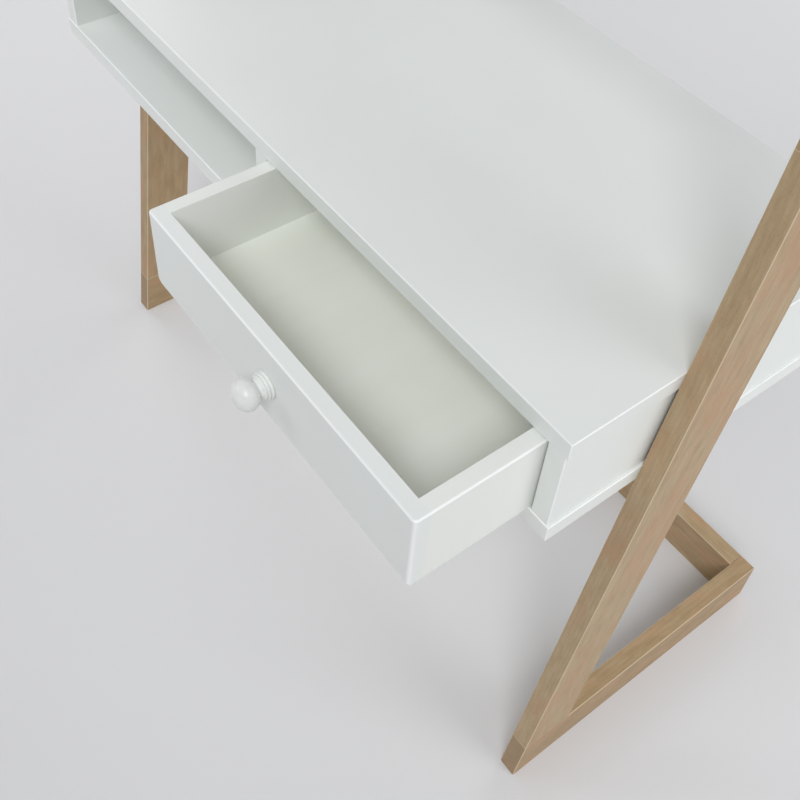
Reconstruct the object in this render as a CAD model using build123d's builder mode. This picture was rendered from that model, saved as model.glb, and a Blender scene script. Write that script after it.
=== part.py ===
"""Writing desk: a painted case with one drawer and one open compartment, hung between two
leaning beech side frames.

X runs across the desk with +X to its right, +Y to its back and +Z up. The origin is on the
floor, at the middle of the room that the desk takes with its drawer standing open.
"""
import math
import os

from build123d import *

os.makedirs("parts", exist_ok=True)

# ---- driving dimensions, mm ----
desk_width = 980.0
desk_depth = 450.0
desk_height = 750.0
case_height = 150.0
dowel_row_runs = (60.0, 225.0, 390.0)  # rows of case dowels, back from the front of the case
board = 22.0  # thickness of every case board
side_inset = 3.0  # side boards stand this far in from the ends of the top and bottom boards
front_inset = 1.0  # and this far back from their front edges
arris = 1.5  # sanded edges of the case boards
divider_centre = 9.0  # X of the middle of the upright divider

back_thickness = 8.0
back_rebate = 11.0  # how far the back laps over each side board

timber = 25.0  # thickness of all the frame's beech
timber_depth = 75.0  # its width
lean = math.radians(7.1)  # how far the posts lean back
foot_setback = 52.5  # case front to post front, measured on top of the floor runner
runner_overrun = 50.0  # runner passes the back of the case
seam_height = 988.0  # front of the joint between lower and upper post
frame_height = 1200.0  # front of the upper post's top
post_top_radius = 14.0
beech_arris = 1.5
joint_arris = 0.4  # hairline groove round the butt joints of the posts

rail_height = 60.0  # width of the top rail's board
rail_drop = 15.0  # top rail below the top of the posts

drawer_wall = 17.0
drawer_gap = 2.0  # shadow gap all round the drawer
drawer_length = 425.0
drawer_out = 140.0  # how far the drawer stands open at rest
drawer_reach = 300.0  # its full travel from closed
drawer_floor = 4.0
floor_height = 13.0  # underside of the drawer floor above the drawer's lower edge
groove_depth = 6.0
drawer_arris = 2.5
drawer_corner = 5.0  # rounding of the drawer front's upright corners
drawer_low_corner = 11.0  # softer lower left corner of the drawer front

glide_thickness = 1.7
glide_width = 14.0
stop_block = (60.0, 19.5, 20.0)
slide_clearance = 0.3

knob_length = 36.0
knob_ball_radius = 16.5
knob_ball_half = 13.0  # half the length of the flattened ball, along the knob's axis
knob_neck_radius = 9.0
knob_beads = ((15.5, 3.2), (14.6, 3.0), (13.2, 2.8))  # radius and thickness, from the base
knob_bead_round = 1.2

frame_dowel_in_side = 15.0  # how far the stretcher's dowels reach into the runners
back_screw_margin = 21.2  # back screws in from the top and bottom boards
drawer_dowel_low = 25.5  # lower drawer dowels above the drawer's floor
drawer_dowel_high = 20.4  # upper drawer dowels below the rim
closing_stop_inset = 88.2  # closing stops in from the drawer's sides

# fasteners
case_dowel = (4.0, 32.0, 12.0)  # radius, length, depth in the top or bottom board
drawer_dowel = (3.0, 28.0, 12.0)  # radius, length, depth in the board that it crosses into
frame_dowel = (5.0, 60.0)
dowel_play = 0.05
bolt_radius = 3.0
bolt_head_radius = 6.0
bolt_head_length = 3.3
bolt_head_slope = math.degrees(math.atan((bolt_head_radius - bolt_radius) / bolt_head_length))
bolt_spread = 40.0  # upper to lower bolt of a pair
bolt_play = 0.3
insert_radius = 5.0
insert_length = 15.0
spacer_radius = 8.0
foot_screw_radius = 3.5
foot_screw_head = 5.0
foot_screw_recess = 8.0
foot_screw_bite = 45.0
foot_screw_spread = 32.0
small_screw_radius = 1.75
small_screw_head = 3.6
small_screw_head_length = 2.0
back_screw_length = 24.0
stop_screw_length = 32.0
knob_screw_radius = 2.0
knob_screw_head = 4.2
knob_screw_bite = 18.0

# ---- places worked out from them ----
frame_rear = desk_depth + runner_overrun
case_front = (drawer_out + knob_length - frame_rear) / 2
case_back = case_front + desk_depth
runner_back = case_front + frame_rear
half_width = desk_width / 2
side_outer = half_width - side_inset
side_inner = side_outer - board
case_bottom = desk_height - case_height
inside_bottom = case_bottom + board
inside_top = desk_height - board
inside_height = inside_top - inside_bottom
back_face = case_back - front_inset - back_thickness
middle_z = (inside_bottom + inside_top) / 2
divider_left = divider_centre - board / 2
divider_right = divider_centre + board / 2

drawer_left = divider_right + drawer_gap
drawer_right = side_inner - drawer_gap
drawer_width = drawer_right - drawer_left
drawer_centre = (drawer_left + drawer_right) / 2
drawer_bottom_z = inside_bottom + drawer_gap
drawer_height = inside_height - 2 * drawer_gap
drawer_front_y = case_front - drawer_out
drawer_rear_y = drawer_front_y + drawer_length
closed_rear_y = case_front + drawer_length
drawer_stop_y = closed_rear_y - drawer_wall - drawer_reach  # inside of its back, fully out
floor_z = drawer_bottom_z + floor_height

foot_front = case_front + foot_setback
post_depth = timber_depth / math.cos(lean)  # the post's section, measured level
foot_centre = foot_front + post_depth / 2


def post_face(z):
    """Y of the posts' front face at height z."""
    return foot_front + (z - timber_depth) * math.tan(lean)


def along(point, run, across=0.0):
    """A point (y, z) moved up the post by run and back through its section by across."""
    y, z = point
    return (
        y + run * math.sin(lean) + across * math.cos(lean),
        z + run * math.cos(lean) - across * math.sin(lean),
    )


seam_front = (post_face(seam_height), seam_height)
post_top = (post_face(frame_height), frame_height)


def save(node, name):
    node.part.label = name
    export_step(node.part, f"parts/{name}.step")


# ---- fixing positions ----
dowel_rows = [case_front + run for run in dowel_row_runs]
upright_centres = (side_outer - board / 2, divider_centre, board / 2 - side_outer)
case_dowel_bottoms = (
    inside_top + case_dowel[2] - case_dowel[1],
    inside_bottom - case_dowel[2],
)
bolt_heights = (middle_z - bolt_spread / 2, middle_z + bolt_spread / 2)
bolt_points = [(post_face(z) + post_depth / 2, z) for z in bolt_heights]
foot_screw_ys = (
    foot_centre - foot_screw_spread / 2,
    foot_centre + foot_screw_spread / 2,
)
stretcher_dowel_zs = (timber_depth / 3, timber_depth * 2 / 3)
back_screw_zs = (inside_bottom + back_screw_margin, inside_top - back_screw_margin)
back_screw_xs = (
    side_inner + back_rebate / 2,
    divider_centre,
    -side_inner - back_rebate / 2,
)
stop_screw_runs = (-stop_block[0] / 4, stop_block[0] / 4)
block_y = drawer_stop_y - slide_clearance - stop_block[1] / 2
rail_middle = along(post_top, -rail_drop - rail_height / 2, timber_depth / 2)
rail_dowel_points = [
    along(rail_middle, rail_height / 4),
    along(rail_middle, -rail_height / 4),
]

# ---- case ----
for name, low, into in (
    ("top_panel", inside_top, -1),
    ("bottom_panel", case_bottom, 1),
):
    face_z = inside_top if into < 0 else inside_bottom
    with BuildPart() as board_part:
        with BuildSketch(Plane.XY.offset(low)):
            with Locations((0, case_front + desk_depth / 2)):
                Rectangle(desk_width, desk_depth)
        extrude(amount=board)
        fillet(board_part.edges(), radius=arris)
        with BuildSketch(Plane.XY.offset(face_z)):
            with Locations([(x, y) for x in upright_centres for y in dowel_rows]):
                Circle(case_dowel[0] + dowel_play)
        extrude(amount=-into * case_dowel[2], mode=Mode.SUBTRACT)
        if name == "top_panel":
            with BuildSketch(Plane.XY.offset(inside_top)):
                with Locations([(drawer_centre + run, block_y) for run in stop_screw_runs]):
                    Circle(small_screw_radius)
            extrude(amount=stop_screw_length - stop_block[2], mode=Mode.SUBTRACT)
    save(board_part, name)

for name, side in (("left_side_panel", -1), ("right_side_panel", 1)):
    outer = side * side_outer
    inner = side * side_inner
    centre = (outer + inner) / 2
    depth = desk_depth - 2 * front_inset
    with BuildPart() as side_part:
        with BuildSketch(Plane.XY.offset(inside_bottom)):
            with Locations((centre, case_front + desk_depth / 2)):
                Rectangle(board, depth)
        extrude(amount=inside_height)
        front = side_part.faces().sort_by(Axis.Y)[0]
        fillet(front.edges().filter_by(Axis.Z), radius=arris)
        # rebate for the back
        with BuildSketch(Plane.XY.offset(inside_bottom)):
            with Locations((inner + side * back_rebate / 2, back_face + back_thickness / 2)):
                Rectangle(back_rebate, back_thickness)
        extrude(amount=inside_height, mode=Mode.SUBTRACT)
        with BuildSketch(Plane.XY.offset(inside_bottom)):
            with Locations([(centre, y) for y in dowel_rows]):
                Circle(case_dowel[0] + dowel_play)
        extrude(amount=case_dowel[1] - case_dowel[2], mode=Mode.SUBTRACT)
        with BuildSketch(Plane.XY.offset(inside_top)):
            with Locations([(centre, y) for y in dowel_rows]):
                Circle(case_dowel[0] + dowel_play)
        extrude(amount=case_dowel[2] - case_dowel[1], mode=Mode.SUBTRACT)
        # countersunk holes for the bolts that hold the post
        into_case = Plane((inner, 0, 0), x_dir=(0, side, 0), z_dir=(-side, 0, 0))
        bolt_spots = [(side * y, -z) for y, z in bolt_points]
        with BuildSketch(into_case):
            with Locations(bolt_spots):
                Circle(bolt_head_radius)
        extrude(amount=-bolt_head_length, taper=bolt_head_slope, mode=Mode.SUBTRACT)
        with BuildSketch(into_case):
            with Locations(bolt_spots):
                Circle(bolt_radius + bolt_play)
        extrude(amount=-board, mode=Mode.SUBTRACT)
        # pilot holes for the back's screws
        rear = Plane((0, back_face, 0), x_dir=(1, 0, 0), z_dir=(0, -1, 0))
        with BuildSketch(rear):
            with Locations([(inner + side * back_rebate / 2, z) for z in back_screw_zs]):
                Circle(small_screw_radius)
        extrude(amount=back_screw_length - back_thickness, mode=Mode.SUBTRACT)
    save(side_part, name)

with BuildPart() as divider:
    with BuildSketch(Plane.XY.offset(inside_bottom)):
        with Locations((divider_centre, (case_front + front_inset + back_face) / 2)):
            Rectangle(board, back_face - case_front - front_inset)
    extrude(amount=inside_height)
    fillet(divider.faces().sort_by(Axis.Y)[0].edges().filter_by(Axis.Z), radius=arris)
    with BuildSketch(Plane.XY.offset(inside_bottom)):
        with Locations([(divider_centre, y) for y in dowel_rows]):
            Circle(case_dowel[0] + dowel_play)
    extrude(amount=case_dowel[1] - case_dowel[2], mode=Mode.SUBTRACT)
    with BuildSketch(Plane.XY.offset(inside_top)):
        with Locations([(divider_centre, y) for y in dowel_rows]):
            Circle(case_dowel[0] + dowel_play)
    extrude(amount=case_dowel[2] - case_dowel[1], mode=Mode.SUBTRACT)
    with BuildSketch(Plane((0, back_face, 0), x_dir=(1, 0, 0), z_dir=(0, -1, 0))):
        with Locations([(divider_centre, z) for z in back_screw_zs]):
            Circle(small_screw_radius)
    extrude(amount=back_screw_length - back_thickness, mode=Mode.SUBTRACT)
save(divider, "divider_panel")

with BuildPart() as back:
    with BuildSketch(Plane.XY.offset(inside_bottom)):
        with Locations((0, back_face + back_thickness / 2)):
            Rectangle(2 * (side_inner + back_rebate), back_thickness)
    extrude(amount=inside_height)
    outside = Plane((0, back_face + back_thickness, 0), x_dir=(-1, 0, 0), z_dir=(0, 1, 0))
    with Locations(outside):
        with Locations([(-x, z) for x in back_screw_xs for z in back_screw_zs]):
            CounterSinkHole(small_screw_radius, small_screw_head, depth=back_thickness)
save(back, "back_panel")

with BuildPart() as case_dowels:
    for low in case_dowel_bottoms:
        with BuildSketch(Plane.XY.offset(low)):
            with Locations([(x, y) for x in upright_centres for y in dowel_rows]):
                Circle(case_dowel[0])
        extrude(amount=case_dowel[1])
save(case_dowels, "case_dowels")

with BuildPart() as back_screws:
    outside = Plane((0, back_face + back_thickness, 0), x_dir=(-1, 0, 0), z_dir=(0, 1, 0))
    with Locations(outside):
        for x in back_screw_xs:
            for z in back_screw_zs:
                with Locations((-x, z)):
                    Cylinder(
                        small_screw_radius,
                        back_screw_length,
                        align=(Align.CENTER, Align.CENTER, Align.MAX),
                    )
                    Cone(
                        small_screw_radius,
                        small_screw_head,
                        small_screw_head_length,
                        align=(Align.CENTER, Align.CENTER, Align.MAX),
                    )
save(back_screws, "back_screws")

with BuildPart() as glides:
    glide_run = closed_rear_y - case_front - 2 * drawer_wall
    with BuildSketch(Plane.XY.offset(inside_bottom)):
        with Locations(
            (drawer_left + drawer_wall / 2, case_front + drawer_length / 2),
            (drawer_right - drawer_wall / 2, case_front + drawer_length / 2),
        ):
            Rectangle(glide_width, glide_run)
    extrude(amount=glide_thickness)
save(glides, "drawer_glide_strips")

with BuildPart() as closing_stops:
    stop_run = back_face - closed_rear_y - slide_clearance
    with BuildSketch(Plane.XY.offset(inside_bottom)):
        with Locations(
            (drawer_left + closing_stop_inset, back_face - stop_run / 2),
            (drawer_right - closing_stop_inset, back_face - stop_run / 2),
        ):
            Rectangle(2 * stop_run, stop_run)
    extrude(amount=2 * stop_run)
save(closing_stops, "drawer_closing_stops")

with BuildPart() as pull_out_stop:
    with BuildSketch(Plane.XY.offset(inside_top - stop_block[2])):
        with Locations((drawer_centre, block_y)):
            Rectangle(stop_block[0], stop_block[1])
    extrude(amount=stop_block[2])
    chamfer(pull_out_stop.faces().sort_by(Axis.Z)[0].edges(), length=arris)
    below = Plane((drawer_centre, block_y, inside_top - stop_block[2]), z_dir=(0, 0, -1))
    with Locations(below):
        with Locations([(run, 0) for run in stop_screw_runs]):
            CounterSinkHole(small_screw_radius, small_screw_head, depth=stop_block[2])
save(pull_out_stop, "drawer_pull_out_stop")

with BuildPart() as stop_screws:
    with Locations(below):
        for run in stop_screw_runs:
            with Locations((run, 0)):
                Cylinder(
                    small_screw_radius,
                    stop_screw_length,
                    align=(Align.CENTER, Align.CENTER, Align.MAX),
                )
                Cone(
                    small_screw_radius,
                    small_screw_head,
                    small_screw_head_length,
                    align=(Align.CENTER, Align.CENTER, Align.MAX),
                )
save(stop_screws, "stop_screws")

# ---- side frames ----
post_bottom_outline = [
    (foot_front, timber_depth),
    (foot_front + post_depth, timber_depth),
    along(seam_front, 0, timber_depth),
    seam_front,
]
upper_post_outline = [
    seam_front,
    along(seam_front, 0, timber_depth),
    along(post_top, 0, timber_depth),
    post_top,
]
runner_outline = [
    (foot_front - timber_depth * math.tan(lean), 0),
    (runner_back, 0),
    (runner_back, timber_depth),
    (foot_front, timber_depth),
]
seam_middle = along(seam_front, 0, timber_depth / 2)
seam_plane = Plane(
    (0, seam_middle[0], seam_middle[1]),
    x_dir=(1, 0, 0),
    z_dir=(0, math.sin(lean), math.cos(lean)),
)
seam_dowel_offsets = (-timber_depth / 5, timber_depth / 5)

for name, side in (("left", -1), ("right", 1)):
    inner = side * half_width
    centre = side * (half_width + timber / 2)
    low_x = min(inner, inner + side * timber)
    outward = Plane((inner, 0, 0), x_dir=(0, 1, 0), z_dir=(1, 0, 0))

    with BuildPart() as runner:
        with BuildSketch(Plane.YZ.offset(low_x)):
            with BuildLine():
                Polyline(*runner_outline, close=True)
            make_face()
        extrude(amount=timber)
        fillet(runner.edges(), radius=beech_arris)
        for y in foot_screw_ys:
            with Locations(Plane((centre, y, 0), z_dir=(0, 0, -1))):
                CounterBoreHole(foot_screw_radius, foot_screw_head, foot_screw_recess)
        with BuildSketch(outward):
            with Locations([(runner_back - timber / 2, z) for z in stretcher_dowel_zs]):
                Circle(frame_dowel[0] + dowel_play)
        extrude(amount=side * frame_dowel_in_side, mode=Mode.SUBTRACT)
    save(runner, f"{name}_runner")

    with BuildPart() as post:
        with BuildSketch(Plane.YZ.offset(low_x)):
            with BuildLine():
                Polyline(*post_bottom_outline, close=True)
            make_face()
        extrude(amount=timber)
        fillet(post.edges().filter_by(lambda e: e.length > timber_depth * 2), radius=beech_arris)
        ends = post.faces().sort_by(Axis.Z)
        fillet(ends[0].edges() + ends[-1].edges(), radius=joint_arris)
        for y in foot_screw_ys:
            with BuildSketch(Plane.XY.offset(timber_depth)):
                with Locations((centre, y)):
                    Circle(foot_screw_radius)
            extrude(amount=foot_screw_bite, mode=Mode.SUBTRACT)
        with BuildSketch(outward):
            with Locations(bolt_points):
                Circle(insert_radius)
        extrude(amount=side * insert_length, mode=Mode.SUBTRACT)
        with BuildSketch(seam_plane):
            with Locations([(centre, y) for y in seam_dowel_offsets]):
                Circle(frame_dowel[0] + dowel_play)
        extrude(amount=-frame_dowel[1] / 2, mode=Mode.SUBTRACT)
    save(post, f"{name}_post")

    with BuildPart() as upper_post:
        with BuildSketch(Plane.YZ.offset(low_x)):
            with BuildLine():
                Polyline(*upper_post_outline, close=True)
            make_face()
        extrude(amount=timber)
        tops = upper_post.edges().filter_by(Axis.X).sort_by(Axis.Z)[-2:]
        fillet(tops, radius=post_top_radius)
        fillet(upper_post.faces().filter_by(Axis.X).edges().filter_by(
            lambda e: e.center().Z > seam_height), radius=beech_arris)
        fillet(upper_post.faces().sort_by(Axis.Z)[0].edges(), radius=joint_arris)
        with BuildSketch(seam_plane):
            with Locations([(centre, y) for y in seam_dowel_offsets]):
                Circle(frame_dowel[0] + dowel_play)
        extrude(amount=frame_dowel[1] / 2, mode=Mode.SUBTRACT)
        with BuildSketch(outward):
            with Locations(rail_dowel_points):
                Circle(case_dowel[0] + dowel_play)
        extrude(amount=side * case_dowel[2], mode=Mode.SUBTRACT)
    save(upper_post, f"{name}_upper_post")

with BuildPart() as stretcher:
    with BuildSketch(Plane.YZ.offset(-half_width)):
        with Locations((runner_back - timber / 2, timber_depth / 2)):
            Rectangle(timber, timber_depth)
    extrude(amount=desk_width)
    fillet(stretcher.edges().filter_by(Axis.X), radius=beech_arris)
    for end in (-1, 1):
        with BuildSketch(Plane.YZ.offset(end * half_width)):
            with Locations([(runner_back - timber / 2, z) for z in stretcher_dowel_zs]):
                Circle(frame_dowel[0] + dowel_play)
        extrude(amount=end * (frame_dowel_in_side - frame_dowel[1]), mode=Mode.SUBTRACT)
save(stretcher, "rear_stretcher")

with BuildPart() as top_rail:
    with BuildSketch(Plane.YZ.offset(-half_width)):
        with Locations(Location(rail_middle, -math.degrees(lean))):
            Rectangle(timber, rail_height)
    extrude(amount=desk_width)
    fillet(top_rail.edges().filter_by(Axis.X), radius=beech_arris)
    for end in (-1, 1):
        with BuildSketch(Plane.YZ.offset(end * half_width)):
            with Locations(rail_dowel_points):
                Circle(case_dowel[0] + dowel_play)
        extrude(amount=-end * (case_dowel[1] - case_dowel[2]), mode=Mode.SUBTRACT)
save(top_rail, "top_rail")

# ---- frame fixings ----
with BuildPart() as stretcher_dowels:
    for end in (-1, 1):
        reach = half_width + frame_dowel_in_side
        with BuildSketch(Plane.YZ.offset(end * reach)):
            with Locations([(runner_back - timber / 2, z) for z in stretcher_dowel_zs]):
                Circle(frame_dowel[0])
        extrude(amount=-end * frame_dowel[1])
save(stretcher_dowels, "stretcher_dowels")

with BuildPart() as rail_dowels:
    for end in (-1, 1):
        reach = half_width + case_dowel[2]
        with BuildSketch(Plane.YZ.offset(end * reach)):
            with Locations(rail_dowel_points):
                Circle(case_dowel[0])
        extrude(amount=-end * case_dowel[1])
save(rail_dowels, "rail_dowels")

with BuildPart() as seam_dowels:
    with BuildSketch(seam_plane.offset(-frame_dowel[1] / 2)):
        with Locations(
            [
                (side * (half_width + timber / 2), y)
                for side in (-1, 1)
                for y in seam_dowel_offsets
            ]
        ):
            Circle(frame_dowel[0])
    extrude(amount=frame_dowel[1])
save(seam_dowels, "post_seam_dowels")

with BuildPart() as foot_screws:
    for side in (-1, 1):
        for y in foot_screw_ys:
            start = Plane.XY.offset(foot_screw_recess)
            centre = (side * (half_width + timber / 2), y)
            with BuildSketch(start):
                with Locations(centre):
                    Circle(foot_screw_radius)
            extrude(amount=timber_depth + foot_screw_bite - foot_screw_recess)
            with BuildSketch(Plane.XY.offset(foot_screw_recess / 2)):
                with Locations(centre):
                    Circle(foot_screw_head)
            extrude(amount=foot_screw_recess / 2)
save(foot_screws, "foot_screws")

with BuildPart() as post_bolts:
    for side in (-1, 1):
        for y, z in bolt_points:
            head = Plane((side * side_inner, y, z), x_dir=(0, 1, 0), z_dir=(side, 0, 0))
            with Locations(head):
                Cone(
                    bolt_head_radius,
                    bolt_radius,
                    bolt_head_length,
                    align=(Align.CENTER, Align.CENTER, Align.MIN),
                )
                Cylinder(
                    bolt_radius,
                    half_width + insert_length - side_inner,
                    align=(Align.CENTER, Align.CENTER, Align.MIN),
                )
save(post_bolts, "post_bolts")

with BuildPart() as post_inserts:
    for side in (-1, 1):
        with BuildSketch(Plane.YZ.offset(side * half_width)):
            with Locations(bolt_points):
                Circle(insert_radius)
                Circle(bolt_radius + dowel_play, mode=Mode.SUBTRACT)
        extrude(amount=side * insert_length)
save(post_inserts, "post_inserts")

with BuildPart() as post_spacers:
    for side in (-1, 1):
        with BuildSketch(Plane.YZ.offset(side * side_outer)):
            with Locations(bolt_points):
                Circle(spacer_radius)
                Circle(bolt_radius + bolt_play, mode=Mode.SUBTRACT)
        extrude(amount=side * side_inset)
save(post_spacers, "post_spacers")

# ---- drawer ----
inner_left = drawer_left + drawer_wall
inner_right = drawer_right - drawer_wall
inner_front_y = drawer_front_y + drawer_wall
inner_rear_y = drawer_rear_y - drawer_wall
drawer_top_z = drawer_bottom_z + drawer_height
drawer_dowel_zs = (floor_z + drawer_dowel_low, drawer_top_z - drawer_dowel_high)
drawer_side_centres = (drawer_left + drawer_wall / 2, drawer_right - drawer_wall / 2)
knob_z = drawer_bottom_z + drawer_height / 2
drawer_floor_middle = ((inner_left + inner_right) / 2, (inner_front_y + inner_rear_y) / 2)
drawer_floor_size = (
    inner_right - inner_left + 2 * groove_depth,
    inner_rear_y - inner_front_y + 2 * groove_depth,
)

front_inside = Plane(
    (drawer_centre, inner_front_y, knob_z), x_dir=(1, 0, 0), z_dir=(0, -1, 0)
)
with BuildPart() as drawer_front:
    with BuildSketch(front_inside):
        outline = Rectangle(drawer_width, drawer_height)
        corners = outline.vertices().sort_by(Axis.Y)
        fillet(corners[:2].sort_by(Axis.X)[0], radius=drawer_low_corner)
        fillet(corners[2:], radius=drawer_arris)
    extrude(amount=drawer_wall)
    uprights = drawer_front.faces().sort_by(Axis.Y)[0].edges().filter_by(Axis.Z)
    fillet(uprights, radius=drawer_corner)
    face = drawer_front.faces().sort_by(Axis.Y)[0]
    fillet(face.edges().filter_by(lambda e: e.bounding_box().size.X > drawer_corner),
           radius=drawer_arris)
    with BuildSketch(Plane.XY.offset(floor_z)):
        with Locations(drawer_floor_middle):
            Rectangle(*drawer_floor_size)
    extrude(amount=drawer_floor, mode=Mode.SUBTRACT)
    inside_face = Plane((0, inner_front_y, 0), x_dir=(-1, 0, 0), z_dir=(0, 1, 0))
    with BuildSketch(inside_face):
        with Locations([(-x, z) for x in drawer_side_centres for z in drawer_dowel_zs]):
            Circle(drawer_dowel[0] + dowel_play)
    extrude(amount=-drawer_dowel[2], mode=Mode.SUBTRACT)
    with BuildSketch(inside_face):
        with Locations((-drawer_centre, knob_z)):
            Circle(knob_screw_radius + dowel_play)
    extrude(amount=-drawer_wall, mode=Mode.SUBTRACT)
save(drawer_front, "drawer_front")

for name, centre_x, side in (
    ("drawer_left_side", drawer_side_centres[0], -1),
    ("drawer_right_side", drawer_side_centres[1], 1),
):
    with BuildPart() as wall:
        with BuildSketch(Plane.XY.offset(drawer_bottom_z)):
            with Locations((centre_x, (inner_front_y + drawer_rear_y) / 2)):
                Rectangle(drawer_wall, drawer_length - drawer_wall)
        extrude(amount=drawer_height)
        rims = wall.faces().sort_by(Axis.Z)[-1].edges().filter_by(Axis.Y)
        fillet(rims.sort_by(Axis.X)[0 if side < 0 else -1], radius=drawer_arris)
        with BuildSketch(Plane.XY.offset(floor_z)):
            with Locations(drawer_floor_middle):
                Rectangle(*drawer_floor_size)
        extrude(amount=drawer_floor, mode=Mode.SUBTRACT)
        with BuildSketch(inside_face):
            with Locations([(-centre_x, z) for z in drawer_dowel_zs]):
                Circle(drawer_dowel[0] + dowel_play)
        extrude(amount=drawer_dowel[1] - drawer_dowel[2], mode=Mode.SUBTRACT)
        with BuildSketch(Plane.YZ.offset(centre_x - side * drawer_wall / 2)):
            with Locations([(drawer_rear_y - drawer_wall / 2, z) for z in drawer_dowel_zs]):
                Circle(drawer_dowel[0] + dowel_play)
        extrude(amount=side * drawer_dowel[2], mode=Mode.SUBTRACT)
    save(wall, name)

with BuildPart() as drawer_back:
    with BuildSketch(Plane.XY.offset(drawer_bottom_z)):
        with Locations(((inner_left + inner_right) / 2, drawer_rear_y - drawer_wall / 2)):
            Rectangle(inner_right - inner_left, drawer_wall)
    extrude(amount=drawer_height)
    with BuildSketch(Plane.XY.offset(floor_z)):
        with Locations(drawer_floor_middle):
            Rectangle(*drawer_floor_size)
    extrude(amount=drawer_floor, mode=Mode.SUBTRACT)
    for x, into in ((inner_left, 1), (inner_right, -1)):
        with BuildSketch(Plane.YZ.offset(x)):
            with Locations([(drawer_rear_y - drawer_wall / 2, z) for z in drawer_dowel_zs]):
                Circle(drawer_dowel[0] + dowel_play)
        extrude(amount=into * (drawer_dowel[1] - drawer_dowel[2]), mode=Mode.SUBTRACT)
save(drawer_back, "drawer_back")

with BuildPart() as drawer_floor_panel:
    with BuildSketch(Plane.XY.offset(floor_z)):
        with Locations(drawer_floor_middle):
            Rectangle(*drawer_floor_size)
    extrude(amount=drawer_floor)
save(drawer_floor_panel, "drawer_bottom")

with BuildPart() as drawer_dowels:
    with BuildSketch(inside_face.offset(-drawer_dowel[2])):
        with Locations([(-x, z) for x in drawer_side_centres for z in drawer_dowel_zs]):
            Circle(drawer_dowel[0])
    extrude(amount=drawer_dowel[1])
    for x, into in (
        (inner_left - drawer_dowel[2], 1),
        (inner_right + drawer_dowel[2], -1),
    ):
        with BuildSketch(Plane.YZ.offset(x)):
            with Locations([(drawer_rear_y - drawer_wall / 2, z) for z in drawer_dowel_zs]):
                Circle(drawer_dowel[0])
        extrude(amount=into * drawer_dowel[1])
save(drawer_dowels, "drawer_dowels")

# ---- knob, turned on one axis: stepped collar, neck and flattened ball ----
knob_axis = Axis((drawer_centre, drawer_front_y, knob_z), (0, -1, 0))
knob_plane = Plane((drawer_centre, drawer_front_y, knob_z), x_dir=(0, -1, 0), z_dir=(1, 0, 0))
ball_middle = knob_length - knob_ball_half
collar_length = sum(thickness for _, thickness in knob_beads)
neck_angle = math.asin(knob_neck_radius / knob_ball_radius)
neck_end = ball_middle - knob_ball_half * math.cos(neck_angle)

with BuildPart() as knob:
    with BuildSketch(knob_plane):
        with BuildLine():
            start = (0, 0)
            run = 0.0
            at = start
            for radius, thickness in knob_beads:
                low_corner = (run, radius - knob_bead_round)
                Line(at, low_corner)
                crown = (run + thickness / 2, radius)
                at = (run + thickness, radius - knob_bead_round)
                ThreePointArc(low_corner, crown, at)
                run += thickness
            neck_foot = (collar_length, knob_neck_radius)
            Line(at, neck_foot)
            ball_foot = (neck_end, knob_neck_radius)
            Line(neck_foot, ball_foot)
            EllipticalCenterArc(
                (ball_middle, 0),
                knob_ball_half,
                knob_ball_radius,
                start_angle=0,
                arc_size=180 - math.degrees(neck_angle),
            )
            Line((knob_length, 0), start)
        make_face()
    revolve(axis=knob_axis)
    with BuildSketch(front_inside.offset(drawer_wall)):
        Circle(knob_screw_radius + dowel_play)
    extrude(amount=knob_screw_bite, mode=Mode.SUBTRACT)
save(knob, "drawer_knob")

with BuildPart() as knob_screw:
    screw_plane = Plane((drawer_centre, inner_front_y, knob_z), x_dir=(1, 0, 0), z_dir=(0, 1, 0))
    with BuildSketch(screw_plane):
        Circle(knob_screw_head)
    extrude(amount=knob_screw_radius)
    fillet(knob_screw.faces().sort_by(Axis.Y)[-1].edges(), radius=knob_screw_radius / 2)
    with BuildSketch(screw_plane):
        Circle(knob_screw_radius)
    extrude(amount=-drawer_wall - knob_screw_bite)
save(knob_screw, "knob_screw")
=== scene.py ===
import math

import bmesh
import bpy
from mathutils import Matrix, Vector


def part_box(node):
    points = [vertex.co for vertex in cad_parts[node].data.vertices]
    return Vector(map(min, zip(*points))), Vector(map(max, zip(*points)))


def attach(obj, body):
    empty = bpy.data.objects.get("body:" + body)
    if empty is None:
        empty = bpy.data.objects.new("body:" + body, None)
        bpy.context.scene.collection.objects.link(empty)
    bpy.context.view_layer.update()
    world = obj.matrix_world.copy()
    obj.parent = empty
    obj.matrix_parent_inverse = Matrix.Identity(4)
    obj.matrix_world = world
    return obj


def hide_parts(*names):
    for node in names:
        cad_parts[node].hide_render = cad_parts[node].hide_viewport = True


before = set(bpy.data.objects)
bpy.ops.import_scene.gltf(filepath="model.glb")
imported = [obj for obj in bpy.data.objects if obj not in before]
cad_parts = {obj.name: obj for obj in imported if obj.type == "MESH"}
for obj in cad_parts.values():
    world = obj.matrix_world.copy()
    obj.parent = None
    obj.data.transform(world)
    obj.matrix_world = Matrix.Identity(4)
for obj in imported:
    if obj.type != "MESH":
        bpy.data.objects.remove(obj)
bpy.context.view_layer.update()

# ---- case boards ----
# The case is five 22 mm MDF boards, dowelled and glued, with their edges sanded round. It is
# primed and sprayed with satin white lacquer after assembly. Every rounded arris is painted
# near-white, a painted highlight for the light that the rounding catches.


def colour(code):
    """An sRGB hex colour as the linear values that a shader takes."""
    channels = [int(code[at:at + 2], 16) / 255 for at in (0, 2, 4)]
    return (*[c / 12.92 if c <= 0.04045 else ((c + 0.055) / 1.055) ** 2.4 for c in channels], 1.0)


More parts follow.
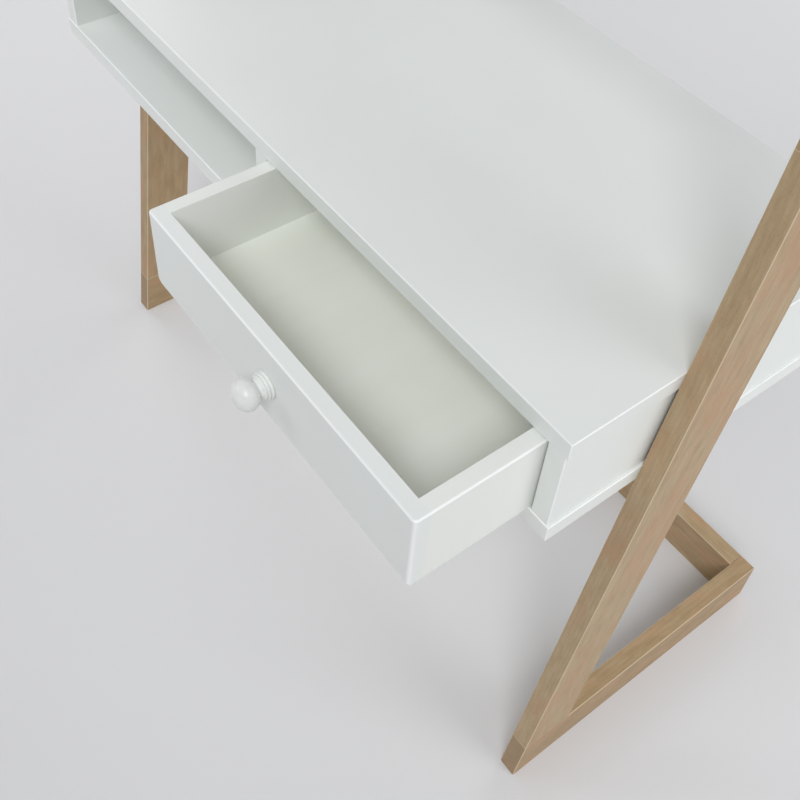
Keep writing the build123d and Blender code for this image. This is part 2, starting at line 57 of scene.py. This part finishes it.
def add(material, kind, inputs=None, **settings):
    """A node with its settings. An input given as a socket is linked, any other is set."""
    made = material.node_tree.nodes.new(kind)
    for name, value in settings.items():
        setattr(made, name, value)
    for socket, value in (inputs or {}).items():
        if isinstance(value, bpy.types.NodeSocket):
            material.node_tree.links.new(value, made.inputs[socket])
        else:
            made.inputs[socket].default_value = value
    return made


def blank(name):
    """A material with an empty node tree."""
    material = bpy.data.materials.new(name)
    material.use_nodes = True
    material.node_tree.nodes.clear()
    return material


def finish_with(material, *names):
    """Gives a material to CAD nodes."""
    for name in names:
        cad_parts[name].data.materials.clear()
        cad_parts[name].data.materials.append(material)


# the Mix node's colour sockets: its two inputs, and its output
MIX_A, MIX_B, MIXED = 6, 7, 2

# the painted highlight along every rounded arris
lacquer_highlight = colour("FDFDFC")
lacquer_cloud = 0.30  # metres across the faint patches where the coat is heavier
lacquer_peel = 0.0030  # orange peel is about 1 mm across, drawn coarser so that it shows

# Satin lacquer: a clean, slightly cool white with a soft broad sheen and no visible grain.
# The drawer's box has one thin coat over the cream primer, which leaves it a little warmer.
for coat, heavy, thin, boards in (
    ("satin white lacquer on MDF", "EDF0EC", "E9ECE7",
     ("top_panel", "bottom_panel", "left_side_panel", "right_side_panel", "divider_panel",
      "drawer_front")),
    ("thin white lacquer on MDF", "F0F2EC", "ECEEE7",
     ("drawer_left_side", "drawer_right_side", "drawer_back")),
):
    lacquer = blank(coat)
    coordinates = add(lacquer, "ShaderNodeTexCoord")
    place = coordinates.outputs["Object"]
    clouds = add(lacquer, "ShaderNodeTexNoise", {
        "Vector": place, "Scale": 1 / lacquer_cloud, "Detail": 3.0, "Roughness": 0.55})
    tone = add(lacquer, "ShaderNodeMapRange", {
        "Value": clouds.outputs["Fac"], "From Min": 0.35, "From Max": 0.68})
    paint = add(lacquer, "ShaderNodeMix", {
        0: tone.outputs["Result"], MIX_A: colour(heavy), MIX_B: colour(thin)},
        data_type="RGBA")
    # A flat face points along one axis, so its largest share is 1; a rounded arris has less.
    facing = add(lacquer, "ShaderNodeVectorMath", {0: coordinates.outputs["Normal"]},
                 operation="ABSOLUTE")
    shares = add(lacquer, "ShaderNodeSeparateXYZ", {0: facing.outputs["Vector"]})
    larger = add(lacquer, "ShaderNodeMath", {
        0: shares.outputs["X"], 1: shares.outputs["Y"]}, operation="MAXIMUM")
    largest = add(lacquer, "ShaderNodeMath", {
        0: larger.outputs["Value"], 1: shares.outputs["Z"]}, operation="MAXIMUM")
    arris = add(lacquer, "ShaderNodeMapRange", {
        "Value": largest.outputs["Value"], "From Min": 0.995, "From Max": 0.80})
    # The rounded arrises get a painted highlight, lighter than the flat faces.
    highlighted_paint = add(lacquer, "ShaderNodeMix", {
        0: arris.outputs["Result"], MIX_A: paint.outputs[MIXED], MIX_B: lacquer_highlight},
        data_type="RGBA")
    peel = add(lacquer, "ShaderNodeTexNoise", {
        "Vector": place, "Scale": 1 / lacquer_peel, "Detail": 2.0})
    sheen = add(lacquer, "ShaderNodeMapRange", {
        "Value": peel.outputs["Fac"], "From Min": 0.3, "From Max": 0.7,
        "To Min": 0.38, "To Max": 0.48})
    relief = add(lacquer, "ShaderNodeBump", {
        "Height": peel.outputs["Fac"], "Strength": 0.05, "Distance": 0.0006})
    skin = add(lacquer, "ShaderNodeBsdfPrincipled", {
        "Base Color": highlighted_paint.outputs[MIXED], "Roughness": sheen.outputs["Result"],
        "Normal": relief.outputs["Normal"], "IOR": 1.48})
    add(lacquer, "ShaderNodeOutputMaterial", {"Surface": skin.outputs["BSDF"]})
    finish_with(lacquer, *boards)

# ---- case back and drawer floor ----
# Both are thin high-density fibreboard, bought in with one face rolled white. The roller
# leaves a fine stipple and faint lanes along its travel, flatter and duller than the lacquer.
rolled_white = colour("F2F4EA")
rolled_lane = colour("F0F2E6")
roller_lane = 0.035  # metres between the lanes that the roller leaves
roller_travel = 1.25  # metres along a lane before it changes
roller_stipple = 0.0022  # the stipple is about 0.8 mm, drawn coarser so that it shows

rolled = blank("rolled white paint on fibreboard")
place = add(rolled, "ShaderNodeTexCoord").outputs["Object"]
lane_run = add(rolled, "ShaderNodeMapping", {
    "Vector": place, "Scale": (1 / roller_lane, 1 / roller_travel, 1 / roller_lane)})
lanes = add(rolled, "ShaderNodeTexNoise", {
    "Vector": lane_run.outputs["Vector"], "Scale": 1.0, "Detail": 3.0})
lane_tone = add(rolled, "ShaderNodeMapRange", {
    "Value": lanes.outputs["Fac"], "From Min": 0.35, "From Max": 0.65})
paint = add(rolled, "ShaderNodeMix", {
    0: lane_tone.outputs["Result"], MIX_A: rolled_white, MIX_B: rolled_lane}, data_type="RGBA")
stipple = add(rolled, "ShaderNodeTexNoise", {
    "Vector": place, "Scale": 1 / roller_stipple, "Detail": 1.0})
dullness = add(rolled, "ShaderNodeMapRange", {
    "Value": stipple.outputs["Fac"], "From Min": 0.3, "From Max": 0.7,
    "To Min": 0.55, "To Max": 0.68})
relief = add(rolled, "ShaderNodeBump", {
    "Height": stipple.outputs["Fac"], "Strength": 0.10, "Distance": 0.0005})
skin = add(rolled, "ShaderNodeBsdfPrincipled", {
    "Base Color": paint.outputs[MIXED], "Roughness": dullness.outputs["Result"],
    "Normal": relief.outputs["Normal"], "IOR": 1.5})
add(rolled, "ShaderNodeOutputMaterial", {"Surface": skin.outputs["BSDF"]})
finish_with(rolled, "back_panel", "drawer_bottom")

# ---- side frames, stretcher and rail ----
# Each side frame is 25 by 75 mm beech: a floor runner, a leaning post butted on it and a
# short upper post on top, glued square across. The boards are planed, their arrises eased,
# and wiped with clear matt oil, which leaves the beech pale with a slight pink.
beech_pale = colour("BBA481")
beech_late = colour("A0845F")
beech_pink = colour("B9926E")
beech_fleck_brown = colour("806145")
beech_end = colour("947D61")
# the painted highlight along the eased arrises
beech_arris_highlight = colour("D6C5A6")
beech_knot = colour("4A3526")
beech_ring = 0.0060  # growth rings are 2 to 4 mm apart, drawn wider so that they show
beech_fibre = (0.0010, 0.020)  # width and length of a bundle of fibres, drawn twice as coarse
beech_fleck = (0.0014, 0.0055)  # ray flecks are about 0.5 by 2 mm, drawn coarser so they show
beech_patch = (0.024, 0.075)  # the pinker patches
beech_cloud = (0.011, 0.040)  # the finer mottle of the ray figure
beech_pin_every = 0.085  # metres between pin knots
beech_pin = 0.0011  # radius of a pin knot
beech_bend_every = 0.045  # metres between the slow bends of the rings
beech_bend = 0.022  # how far the rings stray at a bend
ring_to_wave = math.pi / 10  # the Wave node draws 20 radians of wave for each unit

lean = math.radians(7.1)
quarter = math.pi / 2
# For each board: the turn that stands its grain upright, where its middle then lies from the
# heart of the log, its place along the log, and how much browner it is than the palest board.
# A board cut close to the heart shows arches.
frame_boards = {
    "left_runner": ((quarter, 0.0, 0.0), (0.055, 0.020), 0.30, 0.35),
    "right_runner": ((quarter, 0.0, 0.0), (0.030, 0.062), 1.10, 0.40),
    "left_post": ((lean, 0.0, 0.0), (0.048, 0.034), 2.05, 0.25),
    "right_post": ((lean, 0.0, 0.0), (0.072, 0.026), 3.40, 0.0),
    "left_upper_post": ((lean, 0.0, 0.0), (0.026, 0.050), 4.30, 0.20),
    "right_upper_post": ((lean, 0.0, 0.0), (0.040, 0.066), 5.15, 0.05),
    "rear_stretcher": ((0.0, -quarter, 0.0), (0.034, 0.058), 6.20, 0.20),
    "top_rail": ((0.0, -quarter, 0.0), (0.052, 0.040), 7.35, 0.10),
}
for name, (stand, from_heart, along_log, browner) in frame_boards.items():
    low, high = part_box(name)
    upright = Matrix.Rotation(stand[0], 3, "X") @ Matrix.Rotation(stand[1], 3, "Y")
    middle = upright @ ((low + high) / 2)
    log_shift = (from_heart[0] - middle.x, from_heart[1] - middle.y, along_log)
    grain_way = upright.transposed() @ Vector((0, 0, 1))

    # Oiled beech: pale straw with soft rings, short darker ray flecks and a low sheen.
    beech = blank(f"oiled beech, {name.replace('_', ' ')}")
    coordinates = add(beech, "ShaderNodeTexCoord")
    log = add(beech, "ShaderNodeMapping", {
        "Vector": coordinates.outputs["Object"], "Rotation": stand, "Location": log_shift})
    slow = add(beech, "ShaderNodeMapping", {
        "Vector": log.outputs["Vector"], "Scale": (1.0, 1.0, 0.10)})
    wander = add(beech, "ShaderNodeTexNoise", {
        "Vector": slow.outputs["Vector"], "Scale": 1 / beech_bend_every, "Detail": 2.0})
    bent = add(beech, "ShaderNodeVectorMath", {
        0: wander.outputs["Color"], 1: (beech_bend, beech_bend, 0.0), 2: slow.outputs["Vector"]},
        operation="MULTIPLY_ADD")
    rings = add(beech, "ShaderNodeTexWave", {
        "Vector": bent.outputs["Vector"], "Scale": ring_to_wave / beech_ring,
        "Distortion": 0.0},
        wave_type="RINGS", rings_direction="Z", wave_profile="SAW")
    fibre_run = add(beech, "ShaderNodeMapping", {
        "Vector": log.outputs["Vector"],
        "Scale": (1 / beech_fibre[0], 1 / beech_fibre[0], 1 / beech_fibre[1])})
    fibres = add(beech, "ShaderNodeTexNoise", {
        "Vector": fibre_run.outputs["Vector"], "Scale": 1.0, "Detail": 2.0})
    patch_run = add(beech, "ShaderNodeMapping", {
        "Vector": log.outputs["Vector"],
        "Scale": (1 / beech_patch[0], 1 / beech_patch[0], 1 / beech_patch[1])})
    patches = add(beech, "ShaderNodeTexNoise", {
        "Vector": patch_run.outputs["Vector"], "Scale": 1.0, "Detail": 3.0})
    mottle_run = add(beech, "ShaderNodeMapping", {
        "Vector": log.outputs["Vector"],
        "Scale": (1 / beech_cloud[0], 1 / beech_cloud[0], 1 / beech_cloud[1])})
    mottle = add(beech, "ShaderNodeTexNoise", {
        "Vector": mottle_run.outputs["Vector"], "Scale": 1.0, "Detail": 4.0})
    fleck_run = add(beech, "ShaderNodeMapping", {
        "Vector": log.outputs["Vector"],
        "Scale": (1 / beech_fleck[0], 1 / beech_fleck[0], 1 / beech_fleck[1])})
    flecks = add(beech, "ShaderNodeTexVoronoi", {
        "Vector": fleck_run.outputs["Vector"], "Scale": 1.0, "Randomness": 1.0})
    pins = add(beech, "ShaderNodeTexVoronoi", {
        "Vector": log.outputs["Vector"], "Scale": 1 / beech_pin_every, "Randomness": 1.0})

    late = add(beech, "ShaderNodeMapRange", {
        "Value": rings.outputs["Fac"], "From Min": 0.35, "From Max": 1.0,
        "To Min": browner, "To Max": browner + 0.20})
    streak = add(beech, "ShaderNodeMapRange", {
        "Value": fibres.outputs["Fac"], "From Min": 0.35, "From Max": 0.70, "To Max": 0.24})
    mottled = add(beech, "ShaderNodeMapRange", {
        "Value": mottle.outputs["Fac"], "From Min": 0.38, "From Max": 0.66, "To Max": 0.38})
    grain = add(beech, "ShaderNodeMath", {
        0: late.outputs["Result"], 1: streak.outputs["Result"]}, operation="ADD")
    darkness = add(beech, "ShaderNodeMath", {
        0: grain.outputs["Value"], 1: mottled.outputs["Result"]}, operation="ADD")
    wood = add(beech, "ShaderNodeMix", {
        0: darkness.outputs["Value"], MIX_A: beech_pale, MIX_B: beech_late},
        data_type="RGBA")
    blush = add(beech, "ShaderNodeMapRange", {
        "Value": patches.outputs["Fac"], "From Min": 0.46, "From Max": 0.64, "To Max": 0.68})
    wood = add(beech, "ShaderNodeMix", {
        0: blush.outputs["Result"], MIX_A: wood.outputs[MIXED], MIX_B: beech_pink},
        data_type="RGBA")
    fleck = add(beech, "ShaderNodeMapRange", {
        "Value": flecks.outputs["Distance"], "From Min": 0.30, "From Max": 0.12,
        "To Max": 0.26})
    wood = add(beech, "ShaderNodeMix", {
        0: fleck.outputs["Result"], MIX_A: wood.outputs[MIXED], MIX_B: beech_fleck_brown},
        data_type="RGBA")
    end_face = add(beech, "ShaderNodeVectorMath", {
        0: coordinates.outputs["Normal"], 1: grain_way}, operation="DOT_PRODUCT")
    end_share = add(beech, "ShaderNodeMath", {0: end_face.outputs["Value"]},
                    operation="ABSOLUTE")
    end_grain = add(beech, "ShaderNodeMapRange", {
        "Value": end_share.outputs["Value"], "From Min": 0.75, "From Max": 0.95,
        "To Max": 0.6})
    wood = add(beech, "ShaderNodeMix", {
        0: end_grain.outputs["Result"], MIX_A: wood.outputs[MIXED], MIX_B: beech_end},
        data_type="RGBA")
    # The eased arrises are painted pale, a painted highlight for the light they catch.
    squared = add(beech, "ShaderNodeMapping", {
        "Vector": coordinates.outputs["Normal"], "Rotation": stand})
    facing = add(beech, "ShaderNodeVectorMath", {0: squared.outputs["Vector"]},
                 operation="ABSOLUTE")
    shares = add(beech, "ShaderNodeSeparateXYZ", {0: facing.outputs["Vector"]})
    larger = add(beech, "ShaderNodeMath", {
        0: shares.outputs["X"], 1: shares.outputs["Y"]}, operation="MAXIMUM")
    largest = add(beech, "ShaderNodeMath", {
        0: larger.outputs["Value"], 1: shares.outputs["Z"]}, operation="MAXIMUM")
    beech_highlight_mask = add(beech, "ShaderNodeMapRange", {
        "Value": largest.outputs["Value"], "From Min": 0.985, "From Max": 0.85,
        "To Max": 0.8})
    wood = add(beech, "ShaderNodeMix", {
        0: beech_highlight_mask.outputs["Result"], MIX_A: wood.outputs[MIXED], MIX_B: beech_arris_highlight},
        data_type="RGBA")
    pin = add(beech, "ShaderNodeMapRange", {
        "Value": pins.outputs["Distance"],
        "From Min": 1.5 * beech_pin / beech_pin_every,
        "From Max": beech_pin / beech_pin_every})
    wood = add(beech, "ShaderNodeMix", {
        0: pin.outputs["Result"], MIX_A: wood.outputs[MIXED], MIX_B: beech_knot},
        data_type="RGBA")
    sheen = add(beech, "ShaderNodeMapRange", {
        "Value": fibres.outputs["Fac"], "From Min": 0.3, "From Max": 0.7,
        "To Min": 0.44, "To Max": 0.60})
    relief = add(beech, "ShaderNodeBump", {
        "Height": fibres.outputs["Fac"], "Strength": 0.18, "Distance": 0.0004})
    skin = add(beech, "ShaderNodeBsdfPrincipled", {
        "Base Color": wood.outputs[MIXED], "Roughness": sheen.outputs["Result"],
        "Normal": relief.outputs["Normal"], "IOR": 1.5})
    add(beech, "ShaderNodeOutputMaterial", {"Surface": skin.outputs["BSDF"]})
    finish_with(beech, name)

# ---- dowels and drawer stops ----
# Fluted beech dowels hold the boards and stay out of sight. The stop blocks behind and in
# front of the drawer's travel are offcuts of the same wood, sawn and left bare.
sawn_pale = colour("D8BF97")
sawn_dark = colour("BE9D70")
sawn_fibre = 0.0012  # metres across a fibre bundle, drawn coarser so that it shows
sawn_along = 0.020  # metres along it

sawn = blank("bare sawn beech")
place = add(sawn, "ShaderNodeTexCoord").outputs["Object"]
run = add(sawn, "ShaderNodeMapping", {
    "Vector": place, "Scale": (1 / sawn_along, 1 / sawn_fibre, 1 / sawn_fibre)})
fibres = add(sawn, "ShaderNodeTexNoise", {
    "Vector": run.outputs["Vector"], "Scale": 1.0, "Detail": 3.0})
streak = add(sawn, "ShaderNodeMapRange", {
    "Value": fibres.outputs["Fac"], "From Min": 0.35, "From Max": 0.65})
wood = add(sawn, "ShaderNodeMix", {
    0: streak.outputs["Result"], MIX_A: sawn_pale, MIX_B: sawn_dark}, data_type="RGBA")
relief = add(sawn, "ShaderNodeBump", {
    "Height": fibres.outputs["Fac"], "Strength": 0.4, "Distance": 0.0005})
skin = add(sawn, "ShaderNodeBsdfPrincipled", {
    "Base Color": wood.outputs[MIXED], "Roughness": 0.75,
    "Normal": relief.outputs["Normal"], "IOR": 1.5})
add(sawn, "ShaderNodeOutputMaterial", {"Surface": skin.outputs["BSDF"]})
finish_with(sawn, "case_dowels", "stretcher_dowels", "rail_dowels", "post_seam_dowels",
            "drawer_dowels", "drawer_closing_stops", "drawer_pull_out_stop")

# ---- glide strips ----
# Two self-adhesive strips of natural nylon, laid under the drawer's sides so that it slides.
# Natural nylon is a milky, faintly yellow white with a waxy sheen, rubbed along the travel.
nylon_milk = colour("E9E6DA")
nylon_rub = 0.004  # metres between rub marks
nylon_rub_along = 0.5  # metres along one

nylon = blank("natural nylon strip")
place = add(nylon, "ShaderNodeTexCoord").outputs["Object"]
run = add(nylon, "ShaderNodeMapping", {
    "Vector": place, "Scale": (1 / nylon_rub, 1 / nylon_rub_along, 1 / nylon_rub)})
rubs = add(nylon, "ShaderNodeTexNoise", {
    "Vector": run.outputs["Vector"], "Scale": 1.0, "Detail": 2.0})
sheen = add(nylon, "ShaderNodeMapRange", {
    "Value": rubs.outputs["Fac"], "From Min": 0.3, "From Max": 0.7,
    "To Min": 0.30, "To Max": 0.50})
skin = add(nylon, "ShaderNodeBsdfPrincipled", {
    "Base Color": nylon_milk, "Roughness": sheen.outputs["Result"], "IOR": 1.53,
    "Subsurface Weight": 0.2, "Subsurface Radius": (0.002, 0.002, 0.0015)})
add(nylon, "ShaderNodeOutputMaterial", {"Surface": skin.outputs["BSDF"]})
finish_with(nylon, "drawer_glide_strips")

# ---- screws, bolts, inserts and spacers ----
# Zinc-plated steel: countersunk screws in the back and the stop, one screw through the drawer
# front into the knob, countersunk bolts from inside the case through spacers into threaded
# inserts in the posts, and long screws up through the runners.
zinc_bright = colour("C9CBCF")
zinc_dull = colour("A9ABAE")
zinc_spangle = 0.0015  # metres across the patches of the plating

zinc = blank("zinc-plated steel")
# Bright but not polished: a cool grey metal with a slightly patchy, satin reflection.
place = add(zinc, "ShaderNodeTexCoord").outputs["Object"]
spangle = add(zinc, "ShaderNodeTexNoise", {
    "Vector": place, "Scale": 1 / zinc_spangle, "Detail": 2.0})
patch = add(zinc, "ShaderNodeMapRange", {
    "Value": spangle.outputs["Fac"], "From Min": 0.35, "From Max": 0.65})
plating = add(zinc, "ShaderNodeMix", {
    0: patch.outputs["Result"], MIX_A: zinc_bright, MIX_B: zinc_dull}, data_type="RGBA")
sheen = add(zinc, "ShaderNodeMapRange", {
    "Value": spangle.outputs["Fac"], "From Min": 0.35, "From Max": 0.65,
    "To Min": 0.28, "To Max": 0.42})
skin = add(zinc, "ShaderNodeBsdfPrincipled", {
    "Base Color": plating.outputs[MIXED], "Metallic": 1.0,
    "Roughness": sheen.outputs["Result"]})
add(zinc, "ShaderNodeOutputMaterial", {"Surface": skin.outputs["BSDF"]})
finish_with(zinc, "foot_screws", "post_inserts", "post_spacers", "knob_screw", "back_screws",
            "stop_screws", "post_bolts")

# ---- drawer knob ----
# The knob is beech turned on one axis, with three beads at its foot, a neck and a flattened
# ball, then dipped in white gloss. The dip softens the turned edges and pools in the neck.
knob_low, knob_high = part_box("drawer_knob")
knob_middle = (knob_low + knob_high) / 2
knob_length = knob_high.y - knob_low.y
knob_ball = (knob_high.x - knob_low.x) / 2
knob_half_ball = 0.0128  # half the length of the ball along the axis
knob_neck = 0.0088
knob_beads = ((0.0154, 0.0034), (0.0144, 0.0030), (0.0130, 0.0028))  # radius, thickness
knob_shoulder = 0.0012  # how far a bead falls away at its edges
knob_groove = knob_shoulder * 1.9  # and in the groove after it
knob_sides = 72
bead_steps = 9
ball_steps = 24

# the profile, as distance out from the drawer and radius, from the foot to the nose
profile = [(0.0, knob_beads[0][0] - knob_shoulder)]
at = 0.0
for radius, thickness in knob_beads:
    for step in range(1, bead_steps):
        swing = math.pi * step / bead_steps
        profile.append((at + thickness * (1 - math.cos(swing)) / 2,
                        radius - knob_shoulder * (1 - math.sin(swing))))
    at += thickness
    profile.append((at, radius - knob_groove))
ball_at = knob_length - knob_half_ball
ball_sweep = math.pi - math.asin(knob_neck / knob_ball)
for step in range(ball_steps + 1):
    swing = ball_sweep * (1 - step / ball_steps)
    profile.append((ball_at + knob_half_ball * math.cos(swing), knob_ball * math.sin(swing)))

build = bmesh.new()
rim = [build.verts.new((knob_middle.x, knob_high.y - out, knob_middle.z + max(radius, 0.0)))
       for out, radius in profile]
foot = build.verts.new((knob_middle.x, knob_high.y, knob_middle.z))
outline = [build.edges.new(pair) for pair in zip([foot, *rim], rim)]
bmesh.ops.spin(build, geom=[foot, *rim, *outline], axis=(0, 1, 0), angle=2 * math.pi,
               cent=(knob_middle.x, knob_middle.y, knob_middle.z), steps=knob_sides,
               use_merge=True)
bmesh.ops.remove_doubles(build, verts=build.verts, dist=0.00001)
bmesh.ops.recalc_face_normals(build, faces=build.faces)
for face in build.faces:
    face.smooth = True
knob_mesh = bpy.data.meshes.new("turned_knob")
build.to_mesh(knob_mesh)
build.free()
knob = bpy.data.objects.new("turned_knob", knob_mesh)
bpy.context.scene.collection.objects.link(knob)

gloss_white = colour("F1F2EF")
gloss_thin = colour("E9EBE6")
gloss_run = 0.012  # metres across the slow waves in the dipped coat

gloss = blank("dipped white gloss on turned beech")
# Dipped gloss: rounder and shinier than the boards, with slow waves and thin crests.
place = add(gloss, "ShaderNodeTexCoord").outputs["Object"]
waves = add(gloss, "ShaderNodeTexNoise", {
    "Vector": place, "Scale": 1 / gloss_run, "Detail": 2.0})
thin = add(gloss, "ShaderNodeMapRange", {
    "Value": waves.outputs["Fac"], "From Min": 0.35, "From Max": 0.65})
paint = add(gloss, "ShaderNodeMix", {
    0: thin.outputs["Result"], MIX_A: gloss_white, MIX_B: gloss_thin}, data_type="RGBA")
sheen = add(gloss, "ShaderNodeMapRange", {
    "Value": waves.outputs["Fac"], "From Min": 0.3, "From Max": 0.7,
    "To Min": 0.24, "To Max": 0.34})
relief = add(gloss, "ShaderNodeBump", {
    "Height": waves.outputs["Fac"], "Strength": 0.10, "Distance": 0.0010})
skin = add(gloss, "ShaderNodeBsdfPrincipled", {
    "Base Color": paint.outputs[MIXED], "Roughness": sheen.outputs["Result"],
    "Normal": relief.outputs["Normal"], "IOR": 1.48})
add(gloss, "ShaderNodeOutputMaterial", {"Surface": skin.outputs["BSDF"]})
knob_mesh.materials.append(gloss)
finish_with(gloss, "drawer_knob")
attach(knob, "drawer")
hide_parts("drawer_knob")

# ---- studio ----
# A pale matt paper floor under a broad distant key light from the front right. Soft lamps
# fill from overhead, the front left and both sides, and three of them lift the floor.
floor_size = 30.0  # metres from its middle to each edge
paper_mottle = 0.625  # metres across the faint clouds in the paper
paper_pale = colour("DDDCDB")
paper_dull = colour("DAD9D8")
floor_mesh = bpy.data.meshes.new("studio_floor")
build = bmesh.new()
bmesh.ops.create_grid(build, x_segments=1, y_segments=1, size=floor_size)
build.to_mesh(floor_mesh)
build.free()
floor = bpy.data.objects.new("studio_floor", floor_mesh)
bpy.context.scene.collection.objects.link(floor)
paper = blank("matt paper floor")
place = add(paper, "ShaderNodeTexCoord").outputs["Object"]
mottle = add(paper, "ShaderNodeTexNoise", {
    "Vector": place, "Scale": 1 / paper_mottle, "Detail": 2.0})
paper_tone = add(paper, "ShaderNodeMix", {
    0: mottle.outputs["Fac"], MIX_A: paper_pale, MIX_B: paper_dull}, data_type="RGBA")
skin = add(paper, "ShaderNodeBsdfPrincipled", {
    "Base Color": paper_tone.outputs[MIXED], "Roughness": 0.85})
add(paper, "ShaderNodeOutputMaterial", {"Surface": skin.outputs["BSDF"]})
floor_mesh.materials.append(paper)

camera = bpy.data.objects.new("camera", bpy.data.cameras.new("camera"))
bpy.context.scene.collection.objects.link(camera)
camera.location = (0.7991, -0.6224, 1.477)
camera.rotation_euler = [math.radians(turn) for turn in (43.274, -3.194, 53.01)]
camera.data.sensor_width = 36.0
camera.data.lens = 49.236
camera.data.shift_y = -0.13
bpy.context.scene.camera = camera

world = bpy.data.worlds.new("studio")
world.use_nodes = True
world.node_tree.nodes["Background"].inputs["Color"].default_value = colour("F6F6F7")
world.node_tree.nodes["Background"].inputs["Strength"].default_value = 0.29
bpy.context.scene.world = world
bpy.context.scene.view_settings.view_transform = "Standard"

lamp_white = colour("F8FAFF")[:3]
# for each lamp: its kind, place, aim, size in metres (an angle for the key) and power
for name, shape, place, aim, size, power in (
    ("key_light", "SUN", (1.3, -1.5, 2.2), (0.0, 0.0, 0.0), math.radians(25), 1.19),
    ("lamp_front_right", "AREA", (1.3, -1.5, 2.2), (0.1, 0.0, 0.6), 1.2, 2.2),
    ("lamp_overhead", "AREA", (0.4, -1.0, 2.3), (0.1, 0.0, 0.6), 0.9, 4.3),
    ("lamp_right", "AREA", (1.8, 0.35, 1.6), (0.2, 0.0, 0.7), 0.7, 1.2),
    ("lamp_right_floor", "AREA", (2.2, 0.7, 1.2), (1.0, 0.6, 0.0), 1.2, 14.5),
    ("lamp_left_floor", "AREA", (-1.9, 0.1, 1.4), (-1.1, 0.3, 0.0), 0.9, 8.3),
    ("lamp_behind", "AREA", (-0.6, 3.0, 1.6), (-0.3, 2.0, 0.0), 2.0, 21.0),
    ("lamp_front_left", "AREA", (-0.7, -1.1, 1.3), (-0.35, -0.1, 0.62), 0.5, 2.9),
):
    lamp = bpy.data.objects.new(name, bpy.data.lights.new(name, shape))
    bpy.context.scene.collection.objects.link(lamp)
    if shape == "SUN":
        lamp.data.angle = size
    else:
        lamp.data.size = size
    lamp.data.energy = power
    lamp.location = place
    lamp.data.color = lamp_white
    lamp.visible_camera = False
    lamp.rotation_euler = (Vector(aim) - lamp.location).to_track_quat("-Z", "Y").to_euler()
